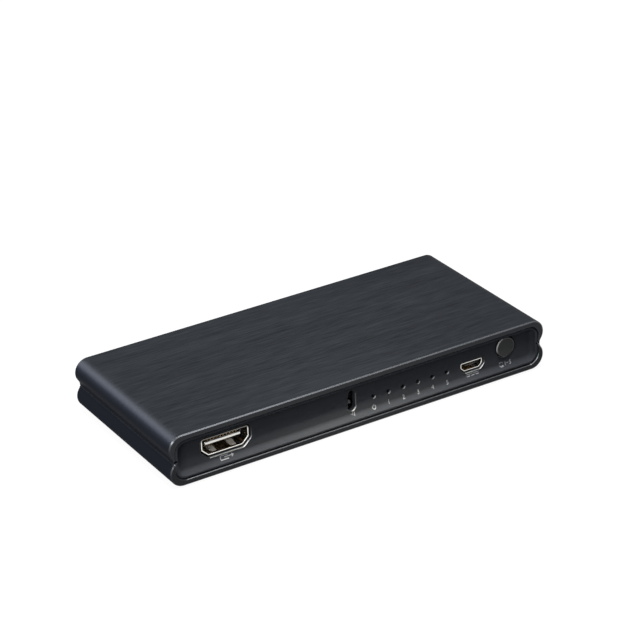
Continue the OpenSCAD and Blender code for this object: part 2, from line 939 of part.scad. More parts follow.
upper_shell();
lower_shell();
front_panel();
rear_panel();
case_screws();
rubber_feet();
main_board();
as_output() video_shell();  // video_out_shell
as_output() video_insulator();  // video_out_insulator
as_output() video_contacts();  // video_out_contacts
for (i = input_numbers) {
    as_input(i) video_shell();
    as_input(i) video_insulator();
    as_input(i) video_contacts();
}
power_socket_shell();
power_socket_insulator();
power_socket_contacts();
select_button();
switch_plunger();
switch_dome();
switch_body();
switch_cover();
switch_terminals();
for (i = [1:led_count])
    led(i - 1);
led_leads();
ir_receiver();
ir_receiver_leads();
video_chip();
video_chip_pins();
controller_chip();
controller_chip_pins();
voltage_regulator();
regulator_leads();
crystal();
bulk_capacitor();
capacitor_base();
chip_capacitors();
chip_resistors();
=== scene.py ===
import json
from math import acos, asin, atan2, cos, degrees, hypot, pi, radians, sin, sqrt, tan

import bmesh
import bpy
from mathutils import Matrix, Quaternion, Vector


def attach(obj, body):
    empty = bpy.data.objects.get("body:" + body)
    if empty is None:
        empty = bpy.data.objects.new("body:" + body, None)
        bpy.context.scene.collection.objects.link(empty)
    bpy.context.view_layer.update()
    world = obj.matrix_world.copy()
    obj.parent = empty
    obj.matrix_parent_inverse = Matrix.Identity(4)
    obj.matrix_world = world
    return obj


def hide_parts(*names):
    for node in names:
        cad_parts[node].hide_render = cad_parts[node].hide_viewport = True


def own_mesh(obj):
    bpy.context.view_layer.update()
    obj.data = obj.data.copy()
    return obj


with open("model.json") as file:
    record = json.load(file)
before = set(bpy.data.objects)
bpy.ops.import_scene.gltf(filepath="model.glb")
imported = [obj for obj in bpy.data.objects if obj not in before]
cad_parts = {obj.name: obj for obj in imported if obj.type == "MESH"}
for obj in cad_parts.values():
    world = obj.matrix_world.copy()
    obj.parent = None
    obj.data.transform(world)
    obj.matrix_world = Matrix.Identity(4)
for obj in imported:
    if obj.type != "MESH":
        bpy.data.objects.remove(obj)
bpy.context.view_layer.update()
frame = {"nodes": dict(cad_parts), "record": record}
mm = 0.001
touch = 1e-4  # points closer than this, in mm, are the same
scene = bpy.context.scene
scene.view_settings.view_transform = "Standard"
slotOf = {row["node"]: row["material_slot"] for row in frame["record"]["subparts"]}
print("frame loaded,", len(frame["nodes"]), "nodes")


def addObject(name, data):
    made = bpy.data.objects.new(name, data)
    scene.collection.objects.link(made)
    return made


# Camera, set to the photograph's viewing angle, in millimetres and degrees
photoView = {
    "lens": 139.76, "sensor": 36.0, "clip": 10.0, "aim": (5.33, 3.40, 19.38), "azimuth": -30.83,
    "elevation": 26.62, "roll": -2.22, "distance": 716.4}


def placeCamera(view):
    data = bpy.data.cameras.new("photoCamera")
    data.lens, data.sensor_width, data.clip_start = view["lens"], view["sensor"], view["clip"] * mm
    turn, rise = radians(view["azimuth"]), radians(view["elevation"])
    back = Vector((sin(turn) * cos(rise), -cos(turn) * cos(rise), sin(rise)))
    camera = addObject("photoCamera", data)
    camera.location = (Vector(view["aim"]) + back * view["distance"]) * mm
    camera.rotation_mode = "QUATERNION"
    camera.rotation_quaternion = ((-back).to_track_quat("-Z", "Y")
                                  @ Quaternion((0, 0, 1), radians(view["roll"])))
    scene.camera = camera


placeCamera(photoView)
print("camera placed")


# Shader helpers: one call adds a node, sets it and links what is handed to its sockets
def addNode(tree, kind, inputs=None, **settings):
    node = tree.nodes.new("ShaderNode" + kind)
    for name, value in settings.items():
        setattr(node, name, value)
    for name, value in (inputs or {}).items():
        if isinstance(value, bpy.types.NodeSocket):
            tree.links.new(value, node.inputs[name])
        else:
            node.inputs[name].default_value = value
    return node


def addMath(tree, operation, first, second=0.0, clamp=False):
    return addNode(tree, "Math", {0: first, 1: second}, operation=operation,
                   use_clamp=clamp).outputs[0]


# Most of a noise lies between a quarter and three quarters
def spread(tree, value, low, high, fromLow=0.25, fromHigh=0.75):
    return addNode(tree, "MapRange", {"Value": value, "From Min": fromLow, "From Max": fromHigh,
                                      "To Min": low, "To Max": high}).outputs["Result"]


def rampOver(tree, value, ends):
    return spread(tree, value, 0.0, 1.0, *ends)


def driftAbout(tree, tone, middle, drift):
    return spread(tree, tone, middle - drift, middle + drift)


def opaque(color):
    return color if isinstance(color, bpy.types.NodeSocket) else (*color, 1.0)


def blendColor(tree, amount, first, second):
    return addNode(tree, "Mix", {0: amount, 6: opaque(first), 7: opaque(second)},
                   data_type="RGBA").outputs[2]


def blendValue(tree, amount, first, second):
    return addNode(tree, "Mix", {0: amount, 2: first, 3: second}, data_type="FLOAT").outputs[0]


def shadeBy(tree, color, tone, drift):
    return addNode(tree, "HueSaturation", {
        "Color": opaque(color), "Value": driftAbout(tree, tone, 1, drift)}).outputs["Color"]


def placeOf(tree):
    return addNode(tree, "TexCoord").outputs["Object"]


def normalOf(tree):
    return addNode(tree, "NewGeometry").outputs["Normal"]


def axesOf(tree, vector):
    return addNode(tree, "SeparateXYZ", {0: vector}).outputs


def newGroup(name, takes, gives):
    group = bpy.data.node_groups.new(name, "ShaderNodeTree")
    for way, sockets in (("INPUT", takes), ("OUTPUT", gives)):
        for label, kind in sockets:
            group.interface.new_socket(label, in_out=way, socket_type="NodeSocket" + kind)
    takes, gives = group.nodes.new("NodeGroupInput"), group.nodes.new("NodeGroupOutput")
    return group, takes.outputs, gives.inputs


# Grain: fine noise with a broader drift under it, stretched by its three scales
grainMix = {"broadScale": 0.21, "fineRough": 0.6, "broadDetail": 2.0, "fine": 0.72, "broad": 0.28}


def makeGrain(spec):
    group, takes, gives = newGroup("surfaceGrain", [("Scale", "Vector"), ("Detail", "Float")],
                                   [("Tone", "Float"), ("Height", "Float")])
    fineAt = addNode(group, "VectorMath", {0: placeOf(group), 1: takes["Scale"]},
                     operation="MULTIPLY").outputs["Vector"]
    broadAt = addNode(group, "VectorMath", {0: fineAt, "Scale": spec["broadScale"]},
                      operation="SCALE").outputs["Vector"]
    fine = addNode(group, "TexNoise", {"Vector": fineAt, "Scale": 1.0, "Detail": takes["Detail"],
                                       "Roughness": spec["fineRough"]}).outputs["Fac"]
    broad = addNode(group, "TexNoise", {"Vector": broadAt, "Scale": 1.0,
                                        "Detail": spec["broadDetail"]}).outputs["Fac"]
    tone = addMath(group, "ADD", addMath(group, "MULTIPLY", fine, spec["fine"]),
                   addMath(group, "MULTIPLY", broad, spec["broad"]))
    group.links.new(tone, gives["Tone"])
    group.links.new(fine, gives["Height"])
    return group


# Wear: bright where the surface turns sharply, broken up so it isn't an even line
wearMix = {"samples": 6, "patchDetail": 3.0, "least": 0.35, "patchFrom": (0.35, 0.65)}


def makeWear(spec):
    group, takes, gives = newGroup("edgeWear", [("Radius", "Float"), ("Gain", "Float"),
                                                ("Patch", "Float")], [("Mask", "Float")])
    worn = addNode(group, "Bevel", {"Radius": takes["Radius"]},
                   samples=spec["samples"]).outputs["Normal"]
    along = addNode(group, "VectorMath", {0: worn, 1: normalOf(group)},
                    operation="DOT_PRODUCT").outputs["Value"]
    bend = addMath(group, "MULTIPLY", addMath(group, "SUBTRACT", 1.0, along), takes["Gain"], True)
    patch = addNode(group, "TexNoise", {"Vector": placeOf(group), "Scale": takes["Patch"],
                                        "Detail": spec["patchDetail"]}).outputs["Fac"]
    mask = addMath(group, "MULTIPLY", bend,
                   spread(group, patch, spec["least"], 1.0, *spec["patchFrom"]))
    group.links.new(mask, gives["Mask"])
    return group


surfaceGrain = makeGrain(grainMix)
edgeWear = makeWear(wearMix)


def emptyTree(owner):
    owner.use_nodes = True
    owner.node_tree.nodes.clear()
    return owner.node_tree


def startFinish(name, constants):
    material = bpy.data.materials.new(name)
    tree = emptyTree(material)
    shader = addNode(tree, "BsdfPrincipled", constants)
    addNode(tree, "OutputMaterial", {"Surface": shader.outputs["BSDF"]})
    return material, tree, shader


def endFinish(tree, shader, color, rough, height, strength, depth):
    bump = addNode(tree, "Bump", {"Strength": strength, "Distance": depth * mm,
                                  "Height": height}).outputs["Normal"]
    for name, value in (("Base Color", color), ("Roughness", rough), ("Normal", bump)):
        tree.links.new(value, shader.inputs[name])


def grainOf(tree, size, detail):
    steps = tuple(1.0 / (side * mm) for side in size)
    return addNode(tree, "Group", {"Scale": steps, "Detail": detail},
                   node_tree=surfaceGrain).outputs


def wearOf(tree, spec):
    return addNode(tree, "Group", {"Radius": spec["radius"] * mm, "Gain": spec["gain"],
                                   "Patch": 1.0 / (spec["patch"] * mm)},
                   node_tree=edgeWear).outputs["Mask"]


def even(size):
    return (size, size, size)


# Plain finishes, in mm: vary is how far colour and roughness drift over the grain, bump its
# strength and depth, worn the colour of rubbed edges. Edge finishes paint light and shade: a
# painted shade colour where the surface faces away, going to color, a painted highlight, where
# it faces toward (else up), over the range facing; upper is painted shade, the colour above
# upperFrom
plainDetail = 3.0
plainWear = {"radius": 0.25, "gain": 5.0, "patch": 2.5}
mouldedEdge = {
    "rough": 0.34, "gloss": 0.2, "grain": even(0.16), "vary": (0.1, 0.05), "bump": (0.1, 0.01)}
# Shared by the case's chamfers: the darker colour where they face away is painted shade
metalEdge = {
    "rough": 0.26, "metal": 1.0, "edgeTint": 0.6, "grain": even(0.8), "vary": (0.1, 0.06),
    "bump": (0.05, 0.01), "under": (0.026, 0.028, 0.033)}
plainFinishes = {
    "panelPlastic": {
        "color": (0.052, 0.0565, 0.068), "rough": 0.5, "gloss": 0.02, "grain": even(0.16),
        "vary": (0.1, 0.07), "bump": (0.22, 0.02), "worn": (0.15, 0.153, 0.158), "wear": 0.4},
    # Button hole edge: a painted highlight where it faces up, painted shade where it faces down
    "panelEdge": {
        **mouldedEdge, "color": (0.25, 0.2525, 0.255), "under": (0.05, 0.051, 0.053),
        "facing": (0.0, 0.68)},
    # Lamp holes and infrared slot: a painted highlight on the lower right of each edge, painted
    # shade elsewhere
    "holeEdge": {
        **mouldedEdge, "color": (0.45, 0.465, 0.50), "under": (0.03, 0.0305, 0.032),
        "toward": (-0.707, 0.0, 0.707), "facing": (0.42, 0.70)},
    # Socket cut-outs: a painted highlight on the slanted lower right edges, painted shade on the
    # rest
    "socketEdge": {
        **mouldedEdge, "color": (0.83, 0.85, 0.90), "under": (0.015, 0.0153, 0.016),
        "toward": (-0.682, 0.0, 0.731), "facing": (0.444, 0.705)},
    # Button rim: a painted highlight at its upper left, painted shade round the rest
    "buttonEdge": {
        **mouldedEdge, "rough": 0.3, "gloss": 0.4, "vary": (0.08, 0.05),
        "color": (0.95, 0.955, 0.96), "under": (0.035, 0.036, 0.038),
        "toward": (-0.883, 0.0, 0.469), "facing": (0.42, 0.80)},
    "buttonPlastic": {
        "color": (0.039, 0.041, 0.042), "rough": 0.4, "gloss": 0.12, "grain": even(0.2),
        "vary": (0.08, 0.06), "bump": (0.15, 0.015), "worn": (0.18, 0.182, 0.186), "wear": 0.5},
    "printInk": {
        "color": (0.32, 0.335, 0.37), "rough": 0.55, "grain": even(0.12), "vary": (0.14, 0.08),
        "bump": (0.1, 0.006)},
    # Case rim chamfers: a bright cut finish where they face up, going to painted shade where they
    # face down
    "cutEdge": {**metalEdge, "color": (0.102, 0.107, 0.117), "facing": (-0.02, 0.42)},
    # Inner rim chamfers: a painted highlight where they face up and left, painted shade elsewhere
    "innerEdge": {
        **metalEdge, "color": (0.25, 0.256, 0.266), "toward": (-0.669, 0.0, 0.743),
        "facing": (0.425, 0.706)},
    "footRubber": {
        "color": (0.022, 0.022, 0.023), "rough": 0.82, "grain": even(0.3), "vary": (0.18, 0.08),
        "bump": (0.35, 0.03), "worn": even(0.06), "wear": 0.5},
    "screwSteel": {
        "color": (0.055, 0.055, 0.058), "rough": 0.34, "metal": 1.0, "grain": even(0.25),
        "vary": (0.15, 0.09), "bump": (0.12, 0.015), "worn": (0.32, 0.32, 0.33), "wear": 0.7},
    # Socket shells: the darker colour over the top of the video sockets is painted shade
    "nickelPlate": {
        "color": (0.8, 0.78, 0.74), "rough": 0.2, "metal": 1.0, "grain": (0.5, 0.9, 0.5),
        "vary": (0.06, 0.06), "bump": (0.06, 0.012), "worn": (0.90, 0.89, 0.87), "wear": 0.6,
        "upper": (0.15, 0.147, 0.14), "upperFrom": (9.9, 10.8)},
    "springPlate": {
        "color": (0.8, 0.78, 0.74), "rough": 0.5, "metal": 0.1, "grain": (0.4, 0.8, 0.4),
        "vary": (0.08, 0.06), "bump": (0.06, 0.01)},
    "socketPlastic": {
        "color": (0.018, 0.018, 0.019), "rough": 0.42, "grain": (0.2, 0.4, 0.2),
        "vary": (0.12, 0.07), "bump": (0.12, 0.012), "worn": (0.06, 0.06, 0.062), "wear": 0.5},
    "tonguePlate": {
        "color": (0.66, 0.655, 0.64), "rough": 0.24, "metal": 1.0, "grain": even(0.3),
        "vary": (0.08, 0.06), "bump": (0.08, 0.01)},
    "contactGold": {
        "color": (0.93, 0.62, 0.30), "rough": 0.48, "metal": 1.0, "grain": (0.15, 0.6, 0.15),
        "vary": (0.1, 0.08), "bump": (0.06, 0.008)},
    "switchPlastic": {
        "color": (0.028, 0.028, 0.030), "rough": 0.46, "grain": even(0.25), "vary": (0.12, 0.07),
        "bump": (0.15, 0.012)},
    "switchSteel": {
        "color": even(0.6), "rough": 0.3, "metal": 1.0, "grain": (0.2, 0.8, 0.2),
        "vary": (0.08, 0.08), "bump": (0.08, 0.01)},
    # Lamp lenses coloured dark as painted shade, so the lamp holes read black
    "lampEpoxy": {
        "color": (0.07, 0.075, 0.07), "rough": 0.22, "grain": even(0.6), "vary": (0.06, 0.05),
        "bump": (0.04, 0.01)},
    "receiverEpoxy": {
        "color": (0.020, 0.017, 0.022), "rough": 0.16, "grain": even(0.5), "vary": (0.1, 0.05),
        "bump": (0.05, 0.01)},
    "tinnedWire": {
        "color": (0.64, 0.64, 0.62), "rough": 0.32, "metal": 1.0, "grain": (0.3, 0.3, 0.9),
        "vary": (0.12, 0.1), "bump": (0.12, 0.015)},
    "chipEpoxy": {
        "color": (0.032, 0.032, 0.034), "rough": 0.6, "grain": even(0.12), "vary": (0.2, 0.08),
        "bump": (0.25, 0.012), "worn": even(0.08), "wear": 0.4},
    "canMetal": {
        "color": (0.70, 0.70, 0.69), "rough": 0.28, "metal": 1.0, "grain": (0.9, 0.15, 0.15),
        "vary": (0.08, 0.08), "bump": (0.08, 0.01)},
    "chipCeramic": {
        "color": (0.36, 0.25, 0.15), "rough": 0.5, "grain": even(0.15), "vary": (0.15, 0.08),
        "bump": (0.15, 0.01)},
    "resistorGlaze": {
        "color": (0.022, 0.022, 0.024), "rough": 0.24, "grain": even(0.3), "vary": (0.12, 0.06),
        "bump": (0.08, 0.01)},
}


def makePlain(name, spec):
    material, tree, shader = startFinish(name, {
        "Metallic": spec.get("metal", 0.0), "Specular IOR Level": spec.get("gloss", 0.5),
        "Specular Tint": opaque(even(spec.get("edgeTint", 1.0)))})
    grain = grainOf(tree, spec["grain"], plainDetail)
    drift, roughDrift = spec["vary"]
    color = shadeBy(tree, spec["color"], grain["Tone"], drift)
    # Painted highlight where the edge faces toward the light (else up), painted shade where it
    # faces away
    if "under" in spec:
        toward = spec.get("toward", (0.0, 0.0, 1.0))
        facing = addNode(tree, "VectorMath", {0: normalOf(tree), 1: toward},
                         operation="DOT_PRODUCT").outputs["Value"]
        color = blendColor(tree, rampOver(tree, facing, spec["facing"]), spec["under"], color)
    if "wear" in spec:
        mask = addMath(tree, "MULTIPLY", wearOf(tree, plainWear), spec["wear"])
        color = blendColor(tree, mask, color, spec["worn"])
    # Painted shade: a darker colour above a height, over the tops of the socket shells
    if "upper" in spec:
        height = axesOf(tree, placeOf(tree))["Z"]
        shadedAbove = rampOver(tree, height, [z * mm for z in spec["upperFrom"]])
        color = blendColor(tree, shadedAbove, color, spec["upper"])
    rough = driftAbout(tree, grain["Tone"], spec["rough"], roughDrift)
    endFinish(tree, shader, color, rough, grain["Height"], *spec["bump"])
    return material


finishes = {name: makePlain(name, spec) for name, spec in plainFinishes.items()}

# Anodised case: brushed along the width on the lid and base, satin on the rounded sides and matt
# below the seam; a lighter colour on the lid's shoulders is a painted highlight and the darker
# colour of the sides that face outward is painted shade
caseWear = {"radius": 0.3, "gain": 5.0, "patch": 4.0}
caseFinish = {
    "lid": (0.036, 0.040, 0.047), "rim": (0.029, 0.031, 0.0345), "side": (0.0138, 0.0160, 0.0218),
    "shoulder": (0.033, 0.036, 0.043), "edgeTint": 0.52, "worn": (0.15, 0.155, 0.165), "wear": 0.5,
    "streak": (8.0, 0.45, 0.45), "streakDetail": 4.0, "streakDrift": 0.52, "streakBump": 0.2,
    "satin": even(0.22), "satinDetail": 2.0, "satinDrift": 0.08, "satinBump": 0.10, "depth": 0.012,
    "lidFacing": (0.93, 0.995), "sideFacing": (0.2, 0.6), "shoulderFacing": (0.55, 0.9),
    "baseFrom": (8.3, 7.7), "lidRough": 0.44, "sideRough": 0.50, "baseRough": 0.86,
    "roughDrift": 0.06}


def makeCaseMetal(spec):
    material, tree, shader = startFinish("caseMetal", {
        "Metallic": 1.0, "Specular Tint": opaque(even(spec["edgeTint"]))})
    streak = grainOf(tree, spec["streak"], spec["streakDetail"])
    satin = grainOf(tree, spec["satin"], spec["satinDetail"])
    facing = axesOf(tree, normalOf(tree))
    onLid = rampOver(tree, addMath(tree, "ABSOLUTE", facing["Z"]), spec["lidFacing"])
    onSide = rampOver(tree, addMath(tree, "ABSOLUTE", facing["X"]), spec["sideFacing"])
    height = axesOf(tree, placeOf(tree))["Z"]
    onBase = rampOver(tree, height, [z * mm for z in spec["baseFrom"]])
    # Painted highlight: the lid's shoulders, facing partly up, get a lighter colour
    turned = rampOver(tree, facing["Z"], spec["shoulderFacing"])
    shoulderHighlight = addMath(tree, "SUBTRACT", turned, onBase, True)
    # Painted shade: sides facing outward get a darker colour than the rims
    side = blendColor(tree, onSide, spec["rim"], spec["side"])
    side = blendColor(tree, shoulderHighlight, side, spec["shoulder"])
    side = shadeBy(tree, side, satin["Tone"], spec["satinDrift"])
    lid = shadeBy(tree, spec["lid"], streak["Tone"], spec["streakDrift"])
    mask = addMath(tree, "MULTIPLY", wearOf(tree, caseWear), spec["wear"])
    color = blendColor(tree, mask, blendColor(tree, onLid, side, lid), spec["worn"])
    matt = spread(tree, onBase, spec["sideRough"], spec["baseRough"], 0.0, 1.0)
    sideRough = addMath(tree, "ADD", matt,
                        driftAbout(tree, satin["Tone"], 0.0, spec["roughDrift"]))
    lidRough = driftAbout(tree, streak["Tone"], spec["lidRough"], spec["roughDrift"])
    sideRelief = addMath(tree, "MULTIPLY", satin["Height"], spec["satinBump"])
    lidRelief = addMath(tree, "MULTIPLY", streak["Height"], spec["streakBump"])
    endFinish(tree, shader, color, blendValue(tree, onLid, sideRough, lidRough),
              blendValue(tree, onLid, sideRelief, lidRelief), 1.0, spec["depth"])
    return material


finishes["caseMetal"] = makeCaseMetal(caseFinish)

# Circuit board: solder mask with copper runs showing through as a lighter green
boardFinish = {
    "mask": (0.012, 0.060, 0.028), "run": (0.030, 0.125, 0.055), "edge": (0.035, 0.033, 0.022),
    "cell": 6.4, "runWidth": 0.03, "runLength": 0.9, "rowHeight": 0.25, "runLeast": 0.3,
    "grain": even(0.6), "detail": 3.0, "flankFacing": (0.4, 0.6), "rough": 0.36,
    "roughDrift": 0.06, "bump": (0.2, 0.02)}


def makeBoard(spec):
    material, tree, shader = startFinish("boardLaminate", {"Metallic": 0.0})
    grain = grainOf(tree, spec["grain"], spec["detail"])
    black, white = opaque(even(0.0)), opaque(even(1.0))
    cells = addNode(tree, "TexBrick", {
        "Vector": placeOf(tree), "Scale": 1.0 / (spec["cell"] * mm),
        "Mortar Size": spec["runWidth"], "Brick Width": spec["runLength"],
        "Row Height": spec["rowHeight"], "Color1": black, "Color2": black, "Mortar": white})
    runs = addMath(tree, "MULTIPLY", cells.outputs["Fac"],
                   spread(tree, grain["Tone"], spec["runLeast"], 1.0))
    color = blendColor(tree, runs, spec["mask"], spec["run"])
    level = addMath(tree, "ABSOLUTE", axesOf(tree, normalOf(tree))["Z"])
    flank = spread(tree, level, 1.0, 0.0, *spec["flankFacing"])
    color = blendColor(tree, flank, color, spec["edge"])
    rough = driftAbout(tree, grain["Tone"], spec["rough"], spec["roughDrift"])
    endFinish(tree, shader, color, rough, cells.outputs["Fac"], *spec["bump"])
    return material


finishes["boardLaminate"] = makeBoard(boardFinish)
print("finishes made:", len(finishes))


# Mesh helpers, in millimetres; outlines lie across X and Z, depth runs along Y
def vertsOf(geom):
    return [v for v in geom if isinstance(v, bmesh.types.BMVert)]


def stepTo(bm, tip, at):
    end = bmesh.ops.extrude_vert_indiv(bm, verts=[tip])["verts"][0]
    end.co = at
    return end


def lineTo(bm, tip, x, z):
    if hypot(x - tip.co.x, z - tip.co.z) < touch:
        return tip
    end = bmesh.ops.extrude_vert_indiv(bm, verts=[tip])["verts"][0]
    bmesh.ops.translate(bm, vec=(x - tip.co.x, 0, z - tip.co.z), verts=[end])
    return end


def arcAbout(bm, tip, x, z, turn, steps):
    made = bmesh.ops.spin(bm, geom=[tip], cent=(x, tip.co.y, z), axis=(0, 1, 0),
                          angle=radians(turn), steps=steps, use_duplicate=False)
    return vertsOf(made["geom_last"])[0]


# Closed outline through corners (x, z, radius), each corner rounded by a spun arc
def drawOutline(bm, corners, y, steps):
    before = set(bm.edges)
    first = tip = None
    for i, (x, z, r) in enumerate(corners):
        here = Vector((x, z))
        back = (Vector(corners[i - 1][:2]) - here).normalized()
        ahead = (Vector(corners[(i + 1) % len(corners)][:2]) - here).normalized()
        half = back.angle(ahead) / 2
        start = here + back * (r / tan(half))
        tip = (lineTo(bm, tip, start.x, start.y) if tip
               else bm.verts.new((start.x, y, start.y)))
        first = first or tip
        middle = here + (back + ahead).normalized() * (r / sin(half))
        leftTurn = ahead.x * back.y - ahead.y * back.x > 0
        turn = degrees(pi - 2 * half) * (-1 if leftTurn else 1)
        tip = arcAbout(bm, tip, middle.x, middle.y, turn, steps)
    if (tip.co - first.co).length < touch:
        bmesh.ops.weld_verts(bm, targetmap={tip: first})
    else:
        bm.edges.new((tip, first))
    return [e for e in bm.edges if e not in before]


def roundBox(x, z, halfWidth, halfHeight, r):
    return [(x - halfWidth, z - halfHeight, r), (x + halfWidth, z - halfHeight, r),
            (x + halfWidth, z + halfHeight, r), (x - halfWidth, z + halfHeight, r)]


# Profile of (inset, depth) points through corners (inset, depth, radius)
def easeProfile(corners, steps=4):
    points = []
    for i, (inset, depth, r) in enumerate(corners):
        here = Vector((inset, depth))
        if r == 0:
            points.append(tuple(here))
            continue
        back = (Vector(corners[i - 1][:2]) - here).normalized()
        ahead = (Vector(corners[i + 1][:2]) - here).normalized()
        half = back.angle(ahead) / 2
        reach = r / tan(half)
        middle = here + (back + ahead).normalized() * (r / sin(half))
        start, end = here + back * reach - middle, here + ahead * reach - middle
        points += [tuple(middle + start.slerp(end, k / steps).normalized() * r)
                   for k in range(steps + 1)]
    return points


# Joins outlines along a profile; they stand apart while they are bridged, then go to their depths
def loft(bm, cornersAt, profile, steps, closed=False):
    loops = [drawOutline(bm, cornersAt(inset), k, steps) for k, (inset, _) in enumerate(profile)]
    pairs = list(zip(loops, loops[1:])) + ([(loops[-1], loops[0])] if closed else [])
    for near, far in pairs:
        bmesh.ops.bridge_loops(bm, edges=near + far)
    for k, loop in enumerate(loops):
        bmesh.ops.translate(bm, vec=(0, profile[k][1] - k, 0),
                            verts=list({v for e in loop for v in e.verts}))
    return loops


def capEnds(bm, loops):
    for end in (loops[0], loops[-1]):
        bmesh.ops.contextual_create(bm, geom=end)


def fillBetween(bm, loops, normal):
    bmesh.ops.triangle_fill(bm, use_beauty=True, use_dissolve=False,
                            edges=[e for loop in loops for e in loop], normal=normal)


# Round bodies that stand at several places, from a profile of (radius, height)
def addRounds(bm, places, profile, steps):
    for x, y in places:
        before = set(bm.verts)
        capEnds(bm, loft(bm, lambda r: roundBox(0, 0, r, r, r), profile, steps))
        made = [v for v in bm.verts if v not in before]
        bmesh.ops.rotate(bm, cent=(0, 0, 0), matrix=Matrix.Rotation(pi / 2, 3, "X"), verts=made)
        bmesh.ops.translate(bm, vec=(x, y, 0), verts=made)


# Turns the chain that has been drawn once round an axis along Y
def spinRound(bm, x, z, steps):
    bmesh.ops.spin(bm, geom=bm.verts[:] + bm.edges[:], cent=(x, 0, z), axis=(0, 1, 0),
                   angle=2 * pi, steps=steps, use_merge=True, use_duplicate=False)
    bmesh.ops.remove_doubles(bm, verts=bm.verts, dist=touch)


def turnToRear(bm, rear):
    if rear:
        bmesh.ops.rotate(bm, cent=(0, 0, 0), matrix=Matrix.Rotation(pi, 3, "Z"), verts=bm.verts)


def toMetres(bm):
    bmesh.ops.recalc_face_normals(bm, faces=bm.faces)
    bmesh.ops.scale(bm, vec=even(mm), verts=bm.verts)


def toMesh(name, bm):
    mesh = bpy.data.meshes.new(name)
    bm.to_mesh(mesh)
    bm.free()
    return mesh


def finishPiece(name, bm, materials, node=None, slot=None, body="case", crease=38):
    nodes, slot = [node] if node else [], slot or slotOf[node]
    toMetres(bm)
    for face in bm.faces:
        face.smooth = True
    for edge in bm.edges:
        edge.smooth = edge.calc_face_angle(pi) < radians(crease)
    mesh = toMesh(name, bm)
    for material in materials:
        mesh.materials.append(finishes[material])
    piece = addObject(name, mesh)
    weigh = piece.modifiers.new("evenShading", "WEIGHTED_NORMAL")
    weigh.keep_sharp = True
    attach(piece, body)
    if nodes:
        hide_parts(*nodes)
    return piece


# Case: two extruded shells that meet in a hollow along each side
caseDims = {
    "half": 62.0, "rim": 28.0, "top": 16.2, "bottom": 0.6, "middle": 8.4, "cornerR": 4.1,
    "hollowX": 63.004, "hollowR": 2.204, "cavityHalf": 60.3, "ceiling": 14.5, "floor": 2.3,
    "innerR": 3.4, "upperSeam": 8.075, "lowerSeam": 7.925, "seamEase": 0.12, "rimEase": 0.3,
    "innerEase": 0.14, "cornerSteps": 22, "hollowSteps": 9, "innerSteps": 10, "seamSteps": 3,
    "slack": 0.02, "crease": 30}
lidPockets = {
    "inner": 59.9, "outer": 60.66, "z": 8.075, "tall": 0.85, "corner": 0.2, "face": 28.0,
    "deep": 1.0, "proud": 0.5, "steps": 4}
screwDims = {
    "places": [(-54.95, -13.0), (54.95, -13.0), (-54.95, 13.0), (54.95, 13.0)], "headR": 2.3,
    "headDepth": 1.35, "shankR": 1.3, "clearance": 0.25, "proud": 1.0, "deep": 4.0, "steps": 12}


def cutAway(piece, bm):
    toMetres(bm)
    cutter = addObject("cutter", toMesh("cutter", bm))
    cut = piece.modifiers.new("cut", "BOOLEAN")
    cut.object, cut.operation, cut.solver = cutter, "DIFFERENCE", "EXACT"
    piece.modifiers.move(1, 0)
    weigh = piece.modifiers["evenShading"]
    weigh.show_viewport = False
    graph = bpy.context.evaluated_depsgraph_get()
    holed = bpy.data.meshes.new_from_object(piece.evaluated_get(graph))
    weigh.show_viewport = True
    piece.modifiers.remove(cut)
    piece.data = holed
    bpy.data.objects.remove(cutter)


def cutScrewHoles(piece, spec):
    bm = bmesh.new()
    low = caseDims["bottom"]
    wide, narrow = spec["headR"] + spec["clearance"], spec["shankR"] + spec["clearance"]
    profile = [(wide, low - spec["proud"]), (wide, low), (narrow, low + spec["headDepth"]),
               (narrow, low + spec["deep"])]
    addRounds(bm, spec["places"], profile, spec["steps"])
    cutAway(piece, bm)


# Small pockets where each seam reaches a rim, at the front (-1) or the rear (1)
def cutPockets(piece, spec, ends):
    bm = bmesh.new()
    x, half = (spec["inner"] + spec["outer"]) / 2, (spec["outer"] - spec["inner"]) / 2
    for side in (-1, 1):
        box = roundBox(side * x, spec["z"], half, spec["tall"], spec["corner"])
        for end in ends:
            profile = [(0, end * (spec["face"] + spec["proud"])),
                       (0, end * (spec["face"] - spec["deep"]))]
            capEnds(bm, loft(bm, lambda inset: box, profile, spec["steps"]))
    cutAway(piece, bm)


def middleOf(edge):
    return (edge.verts[0].co + edge.verts[1].co) / 2


def bevelEdges(bm, edges, offset, segments=1):
    return bmesh.ops.bevel(bm, geom=edges, offset=offset, affect="EDGES", segments=segments,
                           profile=0.5, material=-1, clamp_overlap=False)["faces"]


